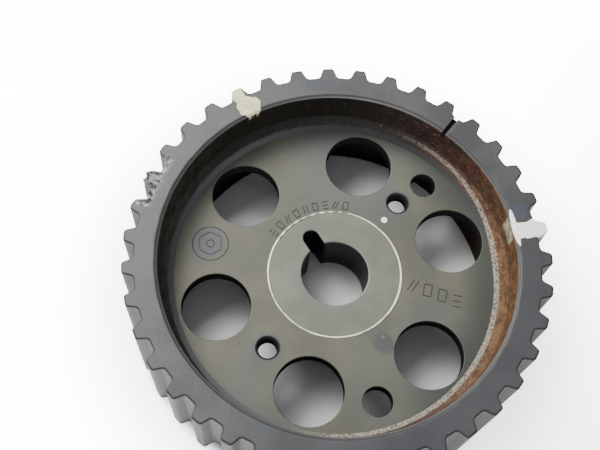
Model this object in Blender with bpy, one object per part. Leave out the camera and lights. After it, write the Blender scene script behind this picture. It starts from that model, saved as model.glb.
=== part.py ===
"""Timing belt pulley: a toothed rim, a windowed web, a keyed hub and the two joints between them.

Metres, +Z up along the bore axis. The pulley lies on its rear face, with the origin on the axis at that face.
"""

from math import atan2, cos, pi, radians, sin, sqrt

import bmesh
import bpy
from mathutils import Matrix, Vector

MM = 0.001
CLEARANCE = 0.3 * MM        # gap kept between two pieces that touch
OVERRUN = 1.0 * MM          # how far a cutter reaches past the faces that it cuts

# Rim and belt teeth
TOOTH_COUNT = 39
TOOTH_PITCH = 9.525 * MM    # along the belt's pitch line
BELT_PITCH_OFFSET = 0.686 * MM  # pitch line above the crests
CREST_WIDTH = 3.0 * MM
GROOVE_DEPTH = 3.1 * MM
GROOVE_BOTTOM_WIDTH = 3.7 * MM
CREST_ROUND = 0.8 * MM
GROOVE_ROUND = 1.1 * MM
RIM_WIDTH = 32.0 * MM
RIM_WALL = 6.5 * MM         # from the bottom of a groove to the inner wall
SEAT_WIDTH = 3.0 * MM       # the shoulder the web rests on: the rim is this much thicker behind the web
RIM_EDGE_CHAMFER = 0.8 * MM
RIM_SIDES = 156

# Timing notch in the rim's front face
NOTCH_ANGLE = radians(51.2)
NOTCH_WIDTH = 1.2 * MM
NOTCH_DEPTH = 1.6 * MM

# Web
WEB_THICKNESS = 4.5 * MM
RECESS_DEPTH = 14.3 * MM    # from the rim's front face down to the web
WINDOW_COUNT = 6
WINDOW_RADIUS = 9.68 * MM
WINDOW_CIRCLE = 34.8 * MM   # radius of the circle of window centres
WINDOW_ANGLE = radians(17.6)
WINDOW_SIDES = 56
HOLE_SIDES = 32
ROUND_HOLES = {             # angle, distance from the axis, radius
    "upper_round_hole": (radians(46.6), 38.5 * MM, 3.7 * MM),
    "lower_round_hole": (radians(286.8), 38.3 * MM, 4.2 * MM),
}
PULLER_HOLE_ANGLES = (radians(49.7), radians(229.7))
PULLER_HOLE_CIRCLE = 29.0 * MM
PULLER_HOLE_RADIUS = 2.9 * MM
PULLER_HOLE_CHAMFER = 0.6 * MM

# Hub, bore and keyway
HUB_RADIUS = 18.2 * MM
HUB_SIDES = 96
BORE_RADIUS = 9.55 * MM
BORE_SIDES = 72
KEYWAY_ANGLE = radians(121.9)
KEYWAY_WIDTH = 4.8 * MM
KEYWAY_DEPTH = 5.4 * MM     # from the bore's wall to the outermost point of the round end

# Joints
HUB_RING_WIDTH = 0.7 * MM
HUB_RING_RISE = 0.15 * MM
BEAD_ROUND = 5.0 * MM       # the hollow round between the web and the rim's wall
BEAD_ENDS = (18, 72)        # degrees of that round at which the bead's thin edges are cut off

PITCH_RADIUS = TOOTH_COUNT * TOOTH_PITCH / (2 * pi)
CREST_RADIUS = PITCH_RADIUS - BELT_PITCH_OFFSET
GROOVE_RADIUS = CREST_RADIUS - GROOVE_DEPTH
WALL_RADIUS = GROOVE_RADIUS - RIM_WALL
WEB_FRONT = RIM_WIDTH - RECESS_DEPTH
WEB_BACK = WEB_FRONT - WEB_THICKNESS
BACK_WALL_RADIUS = WALL_RADIUS - SEAT_WIDTH
SEAT_HEIGHT = WEB_BACK - CLEARANCE
HUB_RING_INNER = HUB_RADIUS + CLEARANCE
HUB_RING_OUTER = HUB_RING_INNER + HUB_RING_WIDTH
WEB_INNER = HUB_RING_OUTER + CLEARANCE
WEB_OUTER = WALL_RADIUS - CLEARANCE


def clear_scene():
    for thing in list(bpy.data.objects):
        bpy.data.objects.remove(thing, do_unlink=True)


def material(name, colour, roughness, metallic):
    made = bpy.data.materials.new(name)
    made.use_nodes = True
    shader = made.node_tree.nodes["Principled BSDF"]
    shader.inputs["Base Color"].default_value = (*colour, 1.0)
    shader.inputs["Roughness"].default_value = roughness
    shader.inputs["Metallic"].default_value = metallic
    return made


def polar(radius, angle, height=0.0):
    return Vector((radius * cos(angle), radius * sin(angle), height))


def add_object(name, bm, finish=None):
    """Turn a bmesh into a named object with outward faces."""
    bmesh.ops.recalc_face_normals(bm, faces=bm.faces)
    mesh = bpy.data.meshes.new(name)
    bm.to_mesh(mesh)
    bm.free()
    made = bpy.data.objects.new(name, mesh)
    bpy.context.scene.collection.objects.link(made)
    if finish:
        mesh.materials.append(finish)
        mesh.shade_smooth()
        mesh.set_sharp_from_angle(angle=radians(30))
    return made


def turned_ring(name, section, sides, finish=None):
    """Carry a closed section of (radius, height) points once round the axis."""
    bm = bmesh.new()
    rings = []
    for step in range(sides):
        turn = 2 * pi * step / sides
        rings.append([bm.verts.new(polar(radius, turn, height)) for radius, height in section])
    for step, ring in enumerate(rings):
        after = rings[(step + 1) % sides]
        for point in range(len(section)):
            along = (point + 1) % len(section)
            bm.faces.new((ring[point], ring[along], after[along], after[point]))
    return add_object(name, bm, finish)


def prism(name, outline, bottom, top, finish=None):
    """Extrude a flat outline of (x, y) points from one height to another."""
    bm = bmesh.new()
    base = bm.faces.new([bm.verts.new((point.x, point.y, bottom)) for point in outline])
    grown = bmesh.ops.extrude_face_region(bm, geom=[base])
    lifted = [item for item in grown["geom"] if isinstance(item, bmesh.types.BMVert)]
    bmesh.ops.translate(bm, verts=lifted, vec=(0, 0, top - bottom))
    return add_object(name, bm, finish)


def cone_cutter(name, centre, lower_radius, upper_radius, bottom, top, sides):
    bm = bmesh.new()
    place = Matrix.Translation((centre.x, centre.y, (bottom + top) / 2))
    bmesh.ops.create_cone(
        bm, cap_ends=True, segments=sides, radius1=lower_radius, radius2=upper_radius,
        depth=top - bottom, matrix=place,
    )
    return add_object(name, bm)


def cut(body, cutter):
    """Take the cutter's shape out of the body and hide the cutter."""
    cutter.hide_render = True
    cutter.display_type = "WIRE"
    step = body.modifiers.new(cutter.name, "BOOLEAN")
    step.operation = "DIFFERENCE"
    step.solver = "EXACT"
    step.object = cutter


def rounded(corners, steps=2):
    """Round each (point, radius) corner of an open run of corners with a short arc."""
    points = [corners[0][0]]
    for (before, _), (corner, radius), (after, _) in zip(corners, corners[1:], corners[2:]):
        back, ahead = (before - corner).normalized(), (after - corner).normalized()
        half = back.angle(ahead) / 2
        reach = radius / abs(sin(half)) * cos(half)
        centre = corner + (back + ahead).normalized() * radius / sin(half)
        start, end = corner + back * reach - centre, corner + ahead * reach - centre
        for step in range(steps + 1):
            share = step / steps
            swept = start.lerp(end, share).normalized() * radius
            points.append(centre + swept)
    return points


def tooth_outline():
    """One groove after another round the rim: crest, sloping flank, flat bottom, flank."""
    pitch_angle = 2 * pi / TOOTH_COUNT
    half_crest = CREST_WIDTH / 2 / CREST_RADIUS
    half_bottom = GROOVE_BOTTOM_WIDTH / 2 / GROOVE_RADIUS
    middle = pitch_angle / 2
    run = [
        (polar(CREST_RADIUS, 0), 0),
        (polar(CREST_RADIUS, half_crest), CREST_ROUND),
        (polar(GROOVE_RADIUS, middle - half_bottom), GROOVE_ROUND),
        (polar(GROOVE_RADIUS, middle + half_bottom), GROOVE_ROUND),
        (polar(CREST_RADIUS, pitch_angle - half_crest), CREST_ROUND),
        (polar(CREST_RADIUS, pitch_angle), 0),
    ]
    tooth = rounded(run)
    outline = []
    for number in range(TOOTH_COUNT):
        turn = Matrix.Rotation(number * pitch_angle, 3, "Z")
        outline.extend(turn @ point for point in tooth)
    return outline


def toothed_rim(finish):
    rim = prism("toothed_rim", tooth_outline(), 0.0, RIM_WIDTH, finish)
    edge = RIM_EDGE_CHAMFER
    flare = WALL_RADIUS + edge + OVERRUN
    middle = RIM_WIDTH / 2
    back_opening = cone_cutter("rim_back_opening", Vector((0, 0, 0)), BACK_WALL_RADIUS, BACK_WALL_RADIUS,
                               -OVERRUN, RIM_WIDTH + OVERRUN, RIM_SIDES)
    cut(rim, back_opening)
    recess = cone_cutter("rim_recess", Vector((0, 0, 0)), WALL_RADIUS, WALL_RADIUS,
                         SEAT_HEIGHT, RIM_WIDTH + OVERRUN, RIM_SIDES)
    cut(rim, recess)
    front_edge = cone_cutter("rim_front_chamfer", Vector((0, 0, 0)), WALL_RADIUS - middle + edge, flare,
                             middle, RIM_WIDTH + OVERRUN, RIM_SIDES)
    cut(rim, front_edge)
    back_edge = cone_cutter("rim_back_chamfer", Vector((0, 0, 0)), flare - SEAT_WIDTH,
                            BACK_WALL_RADIUS - middle + edge,
                            -OVERRUN, middle, RIM_SIDES)
    cut(rim, back_edge)
    cut(rim, timing_notch())
    return rim


def timing_notch():
    """A slot across the front face, open to the inner wall and to the bottom of a groove."""
    inner = WALL_RADIUS - OVERRUN
    outer = CREST_RADIUS + OVERRUN
    along, across = polar(1, NOTCH_ANGLE), polar(NOTCH_WIDTH / 2, NOTCH_ANGLE + pi / 2)
    outline = [along * inner - across, along * outer - across, along * outer + across, along * inner + across]
    return prism("timing_notch", outline, RIM_WIDTH - NOTCH_DEPTH, RIM_WIDTH + OVERRUN)


def web_disc(finish):
    section = [
        (WEB_INNER, WEB_BACK), (WEB_OUTER, WEB_BACK), (WEB_OUTER, WEB_FRONT), (WEB_INNER, WEB_FRONT),
    ]
    web = turned_ring("web_disc", section, RIM_SIDES, finish)
    low, high = WEB_BACK - OVERRUN, WEB_FRONT + OVERRUN
    for number in range(WINDOW_COUNT):
        centre = polar(WINDOW_CIRCLE, WINDOW_ANGLE + 2 * pi * number / WINDOW_COUNT)
        cut(web, cone_cutter(f"window_{number + 1}", centre, WINDOW_RADIUS, WINDOW_RADIUS,
                             low, high, WINDOW_SIDES))
    for name, (angle, distance, radius) in ROUND_HOLES.items():
        cut(web, cone_cutter(name, polar(distance, angle), radius, radius, low, high, HOLE_SIDES))
    for number, angle in enumerate(PULLER_HOLE_ANGLES, 1):
        centre = polar(PULLER_HOLE_CIRCLE, angle)
        cut(web, cone_cutter(f"puller_hole_{number}", centre, PULLER_HOLE_RADIUS, PULLER_HOLE_RADIUS,
                             low, high, HOLE_SIDES))
        mouth = PULLER_HOLE_CHAMFER + OVERRUN
        cut(web, cone_cutter(f"puller_hole_mouth_{number}", centre, PULLER_HOLE_RADIUS - OVERRUN,
                             PULLER_HOLE_RADIUS + mouth, WEB_FRONT - mouth, high, HOLE_SIDES))
    return web


def bore_outline():
    """The round bore, with a keyway that has a round end."""
    half_width = KEYWAY_WIDTH / 2
    end_centre = BORE_RADIUS + KEYWAY_DEPTH - half_width
    mouth = sqrt(BORE_RADIUS ** 2 - half_width ** 2)
    opening = atan2(half_width, mouth)
    outline = [
        polar(BORE_RADIUS, opening + (2 * pi - 2 * opening) * step / BORE_SIDES)
        for step in range(BORE_SIDES + 1)
    ]
    key_steps = 10
    for step in range(key_steps + 1):
        swing = -pi / 2 + pi * step / key_steps
        outline.append(Vector((end_centre, 0, 0)) + polar(half_width, swing))
    turn = Matrix.Rotation(KEYWAY_ANGLE, 3, "Z")
    return [turn @ point for point in outline]


def hub(finish):
    bm = bmesh.new()
    bmesh.ops.create_cone(
        bm, cap_ends=True, segments=HUB_SIDES, radius1=HUB_RADIUS, radius2=HUB_RADIUS,
        depth=WEB_FRONT, matrix=Matrix.Translation((0, 0, WEB_FRONT / 2)),
    )
    body = add_object("hub", bm, finish)
    cut(body, prism("keyed_bore", bore_outline(), -OVERRUN, WEB_FRONT + OVERRUN))
    return body


def hub_joint_ring(finish):
    top = WEB_FRONT + HUB_RING_RISE
    section = [
        (HUB_RING_INNER, WEB_BACK), (HUB_RING_OUTER, WEB_BACK), (HUB_RING_OUTER, top), (HUB_RING_INNER, top),
    ]
    return turned_ring("hub_joint_ring", section, HUB_SIDES, finish)


def rim_joint_bead(finish):
    """A hollow-faced bead that rounds the corner between the rim's wall and the web."""
    outer = WALL_RADIUS - CLEARANCE
    floor = WEB_FRONT + CLEARANCE
    first, last = BEAD_ENDS
    turns = [radians(last + (first - last) * step / 5) for step in range(6)]
    face = [(outer - BEAD_ROUND * (1 - sin(turn)), floor + BEAD_ROUND * (1 - cos(turn))) for turn in turns]
    section = [(face[-1][0], floor), (outer, floor), (outer, face[0][1])] + face
    return turned_ring("rim_joint_bead", section, RIM_SIDES, finish)


def main():
    clear_scene()
    oxide = material("oxidised_steel", (0.13, 0.13, 0.125), 0.55, 0.7)
    web_steel = material("web_steel", (0.24, 0.24, 0.2), 0.5, 0.7)
    machined = material("machined_steel", (0.3, 0.3, 0.28), 0.38, 0.9)
    bright = material("bright_steel", (0.6, 0.6, 0.57), 0.3, 1.0)
    pale = material("pale_joint", (0.35, 0.33, 0.28), 0.85, 0.1)
    toothed_rim(oxide)
    web_disc(web_steel)
    hub(machined)
    hub_joint_ring(bright)
    rim_joint_bead(pale)


main()
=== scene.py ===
"""A used timing belt pulley on a pale table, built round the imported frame. Metres, +Z up along the bore."""

from math import cos, degrees, radians, sin

import bpy
import numpy as np
from mathutils import Matrix, Vector


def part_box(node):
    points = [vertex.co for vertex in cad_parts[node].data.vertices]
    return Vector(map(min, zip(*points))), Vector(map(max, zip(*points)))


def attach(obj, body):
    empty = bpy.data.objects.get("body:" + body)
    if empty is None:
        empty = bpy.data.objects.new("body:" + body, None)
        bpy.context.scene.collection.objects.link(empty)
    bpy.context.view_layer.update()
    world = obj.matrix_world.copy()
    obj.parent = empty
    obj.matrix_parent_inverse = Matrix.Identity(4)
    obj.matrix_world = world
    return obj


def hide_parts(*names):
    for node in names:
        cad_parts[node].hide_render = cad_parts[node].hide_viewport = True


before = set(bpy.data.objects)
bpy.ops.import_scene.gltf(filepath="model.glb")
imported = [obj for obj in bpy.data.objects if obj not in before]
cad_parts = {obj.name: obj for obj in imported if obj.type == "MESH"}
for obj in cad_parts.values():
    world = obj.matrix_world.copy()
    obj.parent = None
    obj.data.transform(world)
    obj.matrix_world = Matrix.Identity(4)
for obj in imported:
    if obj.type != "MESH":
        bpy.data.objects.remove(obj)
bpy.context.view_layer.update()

MM = 0.001
BODY = "root"

# ---------------------------------------------------------------- sizes read from the frame
RIM_BACK, RIM_FRONT = (corner[2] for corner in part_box("toothed_rim"))
CREST_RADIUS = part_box("toothed_rim")[1][0]
WEB_BACK, WEB_FRONT = (corner[2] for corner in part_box("web_disc"))
HUB_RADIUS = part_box("hub")[1][0]
RING_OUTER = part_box("hub_joint_ring")[1][0]
RING_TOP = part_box("hub_joint_ring")[1][2]

# ---------------------------------------------------------------- sizes of the pulley's features
TOOTH_COUNT = 39
CREST_WIDTH = 3.0 * MM
GROOVE_DEPTH = 3.1 * MM
GROOVE_BOTTOM = 3.7 * MM
CREST_ROUND = 0.85 * MM
GROOVE_ROUND = 1.15 * MM
GROOVE_RADIUS = CREST_RADIUS - GROOVE_DEPTH
WALL_RADIUS = GROOVE_RADIUS - 6.5 * MM
BACK_WALL_RADIUS = WALL_RADIUS - 3.0 * MM   # the shoulder behind the web
TOOTH_EDGE = 0.3 * MM           # round on the ends of the teeth
WALL_CHAMFER = 0.8 * MM
NOTCH_ANGLE = radians(51.2)
NOTCH_HALF_WIDTH = 0.6 * MM
NOTCH_DEPTH = 1.6 * MM
NOTCH_STEP_REACH = 1.6 * MM     # the shallow step beside the notch, from the notch's middle
NOTCH_STEP_DEPTH = 0.16 * MM
WINDOW_ANGLES = [radians(17.6 + 60 * number) for number in range(6)]
WINDOW_CIRCLE = 34.8 * MM
WINDOW_RADIUS = 9.68 * MM
BORE_RADIUS = 9.55 * MM
KEYWAY_ANGLE = radians(121.9)
KEYWAY_HALF_WIDTH = 2.4 * MM
KEYWAY_DEPTH = 5.4 * MM
PULLER_ANGLES = (49.7, 229.7)   # degrees
PULLER_CIRCLE = 29.0 * MM
UPPER_HOLE = (radians(46.6), 38.5 * MM, 3.7 * MM)   # angle, distance from the axis, radius
LOWER_HOLE = (radians(286.8), 38.3 * MM, 4.2 * MM)
BEAD_ROUND = 5.0 * MM
BEAD_ENDS = (18, 72)            # degrees of the round that the bead keeps
CRUSHED_ANGLE = radians(159.5)
CHIPPED_ANGLE = radians(151.8)
STAMP_DEPTH = 0.16 * MM
SIGN_START, SIGN_STEP, SIGN_CIRCLE = 145.5, 8.1, 21.05 * MM     # the row of signs round the hub, in degrees
MARK_ANGLE, MARK_CIRCLE = radians(166.9), 36.4 * MM
JOIN = 0.05 * MM                # how far one piece runs into its neighbour


# ---------------------------------------------------------------- meshes from whole arrays
def at(angle, distance):
    """A flat point that far from the axis."""
    return np.array([distance * cos(angle), distance * sin(angle)])


def turning(angle):
    """The matrix that turns flat points, given as rows, by an angle."""
    return np.array([[cos(angle), sin(angle)], [-sin(angle), cos(angle)]])


def plain_object(name, points, faces):
    mesh = bpy.data.meshes.new(name)
    mesh.from_pydata(points.reshape(-1, 3).tolist(), [], faces)
    made = bpy.data.objects.new(name, mesh)
    bpy.context.scene.collection.objects.link(made)
    return made


def spread(values, count):
    """A number for each row, repeated along the row."""
    return np.array(values)[:, None] + np.zeros(count)


def grid_object(name, points, smooth_angle=32):
    """A closed ring of rings: points[row, column] joined to the next row and column, both wrapping."""
    rows, columns = points.shape[:2]
    index = np.arange(rows * columns).reshape(rows, columns)
    ahead, beside = np.roll(index, -1, axis=0), np.roll(index, -1, axis=1)
    corner = np.roll(ahead, -1, axis=1)
    quads = np.stack([index, beside, corner, ahead], axis=-1).reshape(-1, 4)
    mesh = bpy.data.meshes.new(name)
    mesh.vertices.add(rows * columns)
    mesh.vertices.foreach_set("co", points.reshape(-1).astype(np.float32))
    mesh.loops.add(quads.size)
    mesh.loops.foreach_set("vertex_index", quads.reshape(-1).astype(np.int32))
    mesh.polygons.add(len(quads))
    mesh.polygons.foreach_set("loop_start", np.arange(0, quads.size, 4, dtype=np.int32))
    mesh.update(calc_edges=True)
    mesh.shade_smooth()
    mesh.set_sharp_from_angle(angle=radians(smooth_angle))
    made = bpy.data.objects.new(name, mesh)
    bpy.context.scene.collection.objects.link(made)
    return made


def set_mask(piece, name, values):
    """Store one number between 0 and 1 on each vertex."""
    layer = piece.data.attributes.new(name, "FLOAT", "POINT")
    layer.data.foreach_set("value", np.clip(values, 0, 1).reshape(-1).astype(np.float32))


def on_circle(radius, angle, height):
    """(radius cos angle, radius sin angle, height), with the three arrays spread to one shape."""
    radius, angle, height = np.broadcast_arrays(radius, angle, height)
    return np.stack([radius * np.cos(angle), radius * np.sin(angle), height], axis=-1)


def smooth_step(low, high, value):
    """0 below low, 1 above high, 3t^2 - 2t^3 between."""
    share = np.clip((value - low) / (high - low), 0, 1)
    return share * share * (3 - 2 * share)


def ripple(points, wavelength, seed, waves=14):
    """Sum of plane sine waves in seeded directions, of about the given wavelength, scaled to about -1..1."""
    rng = np.random.default_rng(seed)
    directions = rng.normal(size=(waves, 3))
    directions /= np.linalg.norm(directions, axis=1, keepdims=True)
    numbers = 2 * np.pi / wavelength * rng.uniform(0.6, 1.6, waves)
    phases = rng.uniform(0, 2 * np.pi, waves)
    total = np.zeros(points.shape[:-1])
    for direction, number, phase in zip(directions, numbers, phases):
        total += np.sin(points @ direction * number + phase)
    return total / np.sqrt(waves)


def angle_from(angle, centre):
    """How far an angle lies from the centre, the short way round, in degrees."""
    return np.abs((np.degrees(angle - centre) + 180) % 360 - 180)


def arc_corner(before, corner, after, radius, steps):
    """Points on the arc of that radius that touches both sides of a corner."""
    back, ahead = before - corner, after - corner
    back, ahead = back / np.linalg.norm(back), ahead / np.linalg.norm(ahead)
    half = np.arccos(np.clip(back @ ahead, -1, 1)) / 2
    middle = (back + ahead) / np.linalg.norm(back + ahead)
    centre = corner + middle * radius / np.sin(half)
    start = corner + back * radius / np.tan(half) - centre
    end = corner + ahead * radius / np.tan(half) - centre
    share = np.linspace(0, 1, steps + 1)[:, None]
    swept = start * (1 - share) + end * share
    return centre + swept / np.linalg.norm(swept, axis=1, keepdims=True) * radius


def tooth_outline():
    """One pitch of crest, round, flank, round, groove bottom, round, flank and round, then turned 39 times.

    Straight stretches are cut into equal steps, so that dents have vertices to move.
    """
    pitch = 2 * np.pi / TOOTH_COUNT
    half_crest = CREST_WIDTH / 2 / CREST_RADIUS
    half_bottom = GROOVE_BOTTOM / 2 / GROOVE_RADIUS

    corners = [
        (at(-half_crest, CREST_RADIUS), 0),
        (at(half_crest, CREST_RADIUS), CREST_ROUND),
        (at(pitch / 2 - half_bottom, GROOVE_RADIUS), GROOVE_ROUND),
        (at(pitch / 2 + half_bottom, GROOVE_RADIUS), GROOVE_ROUND),
        (at(pitch - half_crest, CREST_RADIUS), CREST_ROUND),
        (at(pitch + half_crest, CREST_RADIUS), 0),
    ]
    arcs = [
        arc_corner(corners[at - 1][0], corners[at][0], corners[at + 1][0], corners[at][1], 4)
        for at in range(1, 5)
    ]
    arcs.append(arcs[0] @ turning(pitch))
    pieces = []
    for arc, following, steps in zip(arcs, arcs[1:], (5, 4, 5, 4)):
        share = np.linspace(0, 1, steps + 1)[1:-1, None]
        pieces += [arc, arc[-1] * (1 - share) + following[0] * share]
    one = np.concatenate(pieces)
    return np.concatenate([one @ turning(tooth * pitch) for tooth in range(TOOTH_COUNT)])


def notch_angles():
    """The notch's two walls and the far edge of its step, as angles at the middle of the rim's face."""
    at = (WALL_RADIUS + GROOVE_RADIUS) / 2
    return NOTCH_ANGLE + np.array([-NOTCH_STEP_REACH, -NOTCH_HALF_WIDTH, NOTCH_HALF_WIDTH]) / at


def with_notch_columns(outline):
    """Add outline points close to both sides of each wall of the notch, so that the walls stand upright."""
    angle = np.arctan2(outline[:, 1], outline[:, 0]) % (2 * np.pi)
    radius = np.hypot(outline[:, 0], outline[:, 1])
    order = np.argsort(angle)
    angle, radius = angle[order], radius[order]
    walls = notch_angles()
    sliver = 0.015 * MM / GROOVE_RADIUS
    extra = (walls[:, None] + np.array([-sliver, sliver])).reshape(-1)
    extra = np.concatenate([extra, [(walls[0] + walls[1]) / 2, NOTCH_ANGLE]])
    clear = np.abs(angle[:, None] - walls).min(axis=1) > 4 * sliver
    angle, radius = angle[clear], radius[clear]
    radius = np.concatenate([radius, np.interp(extra, angle, radius)])
    angle = np.concatenate([angle, extra])
    order = np.argsort(angle)
    return angle[order], radius[order]


def toothed_rim():
    """Rows run round the rim's section: up the teeth, over the front, down the wall, back to the teeth.

    Up the teeth a row is the outline moved inwards by e(1 - cos f) at height e(1 - sin f) below the face,
    with f from 0 to a quarter turn at each end. Over the front and back a row is (1 - s) outline + s circle.
    """
    angle, radius = with_notch_columns(tooth_outline())
    outline = np.stack([radius * np.cos(angle), radius * np.sin(angle)], axis=-1)
    along = np.roll(outline, -1, axis=0) - np.roll(outline, 1, axis=0)
    along /= np.linalg.norm(along, axis=1, keepdims=True)
    outward = np.stack([along[:, 1], -along[:, 0]], axis=-1)
    inner = np.stack([np.cos(angle), np.sin(angle)], axis=-1)
    rows, heights, edge_mask = [], [], []

    def row(flat, height, edge=0.0):
        rows.append(flat)
        heights.append(height)
        edge_mask.append(edge)

    # the back tooth ends get 0.8 on the edge mask: painted shade where they meet the table
    for f in np.linspace(1, 0, 4) * np.pi / 2:
        row(outline - outward * TOOTH_EDGE * (1 - cos(f)), RIM_BACK + TOOTH_EDGE * (1 - sin(f)), 0.8)
    for share in (0.15, 0.35, 0.55, 0.7, 0.8, 0.87, 0.92, 0.955, 0.975):
        row(outline, RIM_BACK + TOOTH_EDGE + (RIM_FRONT - RIM_BACK - 2 * TOOTH_EDGE) * share)
    for f in np.linspace(0, 1, 5) * np.pi / 2:
        row(outline - outward * TOOTH_EDGE * (1 - cos(f)), RIM_FRONT - TOOTH_EDGE * (1 - sin(f)), 1.0)
    face_outer = rows[-1]
    face_inner = inner * (WALL_RADIUS + WALL_CHAMFER)
    for share in (0.05, 0.1, 0.2, 0.32, 0.45, 0.58, 0.7, 0.82, 0.93, 1.0):
        row(face_outer * (1 - share) + face_inner * share, RIM_FRONT)
    for share in (0.3, 0.6, 1.0):
        row(inner * (WALL_RADIUS + WALL_CHAMFER * (1 - share)), RIM_FRONT - WALL_CHAMFER * share ** 1.4)
    wall_top, seat, wall_foot = RIM_FRONT - WALL_CHAMFER, WEB_BACK + JOIN, RIM_BACK + WALL_CHAMFER
    for share in (0.03, 0.13, 0.26, 0.4, 0.54, 0.68, 0.78, 0.99, 1.0):
        row(inner * WALL_RADIUS, wall_top + (seat - wall_top) * share)
    for share in (0.0, 0.04, 0.5, 1.0):
        row(inner * BACK_WALL_RADIUS, seat + (wall_foot - seat) * share)
    for share in (0.5, 1.0):
        row(inner * (BACK_WALL_RADIUS + WALL_CHAMFER * share), wall_foot - WALL_CHAMFER * share)
    back_inner, back_outer = rows[-1], rows[0]
    for share in (0.3, 0.7):
        row(back_inner * (1 - share) + back_outer * share, RIM_BACK)

    height, edge = spread(heights, len(angle)), spread(edge_mask, len(angle))
    points = np.concatenate([np.stack(rows), height[..., None]], axis=-1)

    step_wall, near_wall, far_wall = notch_angles()
    in_notch = ((angle > near_wall) & (angle < far_wall))[None, :] * np.ones(len(rows))[:, None]
    in_step = ((angle > step_wall) & (angle < near_wall))[None, :] * np.ones(len(rows))[:, None]
    floor = RIM_FRONT - in_notch * NOTCH_DEPTH - in_step * NOTCH_STEP_DEPTH
    points[..., 2] = np.minimum(points[..., 2], floor)

    place = np.arctan2(points[..., 1], points[..., 0])
    reach = np.hypot(points[..., 0], points[..., 1])
    crushed = smooth_step(7.5, 5.0, angle_from(place, CRUSHED_ANGLE))
    chipped = smooth_step(3.2, 2.2, angle_from(place, CHIPPED_ANGLE)) * 0.7
    crushed = np.maximum(crushed, chipped * smooth_step(56.5 * MM, 55.6 * MM, reach))
    crushed = crushed * smooth_step(6 * MM, 2.2 * MM, RIM_FRONT - points[..., 2])
    crushed = crushed * smooth_step(53.2 * MM, 54.8 * MM, reach)
    dents = np.clip(ripple(points, 1.6 * MM, 5) * 0.5 + 0.45, 0, 1.4)
    small_dents = ripple(points, 0.7 * MM, 11)
    push = crushed * (0.75 * dents + 0.12 * small_dents + 0.1) * MM
    points[..., :2] *= (1 - np.clip(push, 0, None) / reach)[..., None]
    front = smooth_step(2.0 * MM, 0.0, RIM_FRONT - points[..., 2])
    points[..., 2] -= np.clip(crushed * front * (0.35 * dents + 0.1 * small_dents + 0.1) * MM, 0, None)

    on_wall = (reach < WALL_RADIUS + 0.2 * MM) & (points[..., 2] < wall_top) & (points[..., 2] > seat)
    scale = on_wall * 0.02 * MM * ripple(points, 2.5 * MM, 21)
    points[..., :2] *= (1 + scale / reach)[..., None]

    piece = grid_object("belt_toothed_rim", points)
    set_mask(piece, "edge", edge)
    set_mask(piece, "crushed", crushed)
    set_mask(piece, "step", (in_step * smooth_step(0.6 * MM, 0.3 * MM, RIM_FRONT - height)))
    set_mask(piece, "notch", (in_notch * smooth_step(2 * MM, 1.7 * MM, RIM_FRONT - height)))
    return piece


def turned_ring(name, section, sides, wobble=None, smooth_angle=32):
    """A closed section of (radius, height) points carried once round the axis; wobble moves them."""
    angle = np.linspace(0, 2 * np.pi, sides, endpoint=False)
    section = np.asarray(section)
    points = on_circle(section[:, :1], angle[None, :], section[:, 1:])
    if wobble:
        points = wobble(points)
    return grid_object(name, points[:, ::-1], smooth_angle)


def plug_from_layers(name, layers):
    """A closed plug through layers of points, each layer a ring with the same number of points."""
    rows, sides = layers.shape[:2]
    index = np.arange(rows * sides).reshape(rows, sides)
    beside = np.roll(index, -1, axis=1)
    quads = np.stack([index[:-1], index[1:], beside[1:], beside[:-1]], axis=-1).reshape(-1, 4)
    return plain_object(name, layers, quads.tolist() + [index[0].tolist(), index[-1][::-1].tolist()])


def cutter(name, centre, section, sides=64):
    """A plug turned about its own upright axis from (radius, height) points, top first."""
    angle = np.linspace(0, 2 * np.pi, sides, endpoint=False)
    section = np.asarray(section)
    layers = on_circle(section[:, :1], angle[None, :], section[:, 1:])
    return plug_from_layers(name, layers + np.array([centre[0], centre[1], 0]))


def stroke_cutter(name, centre, turn, length):
    """A stamped stroke: two half circles a length apart, narrowing from the face down to its floor."""
    steps = np.linspace(-np.pi / 2, np.pi / 2, 6)
    layers = []
    for half, height in ((0.27 * MM, 0.6 * MM), (0.17 * MM, 0.0), (0.10 * MM, -STAMP_DEPTH)):
        end = np.stack([length / 2 + half * np.cos(steps), half * np.sin(steps)], axis=-1)
        outline = np.concatenate([end, -end]) @ turning(turn) + centre
        layers.append(np.column_stack([outline, np.full(len(outline), WEB_FRONT + height)]))
    return plug_from_layers(name, np.stack(layers))


def ring_cutter(name, centre, radius):
    """A stamped circle: a ring of triangular section, its point down at the stamp's floor."""
    angle = np.linspace(0, 2 * np.pi, 72, endpoint=False)
    section = np.array([(0.34, 0.3), (-0.34, 0.3), (0.0, -STAMP_DEPTH / MM)]) * MM
    points = on_circle(radius + section[:, :1], angle[None, :], WEB_FRONT + section[:, 1:])
    points += np.array([centre[0], centre[1], 0])
    index = np.arange(points.shape[0] * points.shape[1]).reshape(points.shape[:2])
    ahead, beside = np.roll(index, -1, axis=0), np.roll(index, -1, axis=1)
    quads = np.stack([index, ahead, np.roll(ahead, -1, axis=1), beside], axis=-1).reshape(-1, 4)
    return plain_object(name, points, quads[:, ::-1].tolist())


# plain stamped signs: strokes as across, up and length in millimetres, and turn in degrees
SIGNS = {
    "box": [(0, 1.15, 1.3, 0), (0, -1.15, 1.3, 0), (-0.75, 0, 2.0, 90), (0.75, 0, 2.0, 90)],
    "bars": [(0, 1.1, 1.4, 0), (0, 0, 1.4, 0), (0, -1.1, 1.4, 0)],
    "slants": [(-0.45, 0, 2.3, 66), (0.45, 0, 2.3, 66)],
    "posts": [(-0.5, 0, 2.2, 90), (0.5, 0, 2.2, 90)],
}


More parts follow.
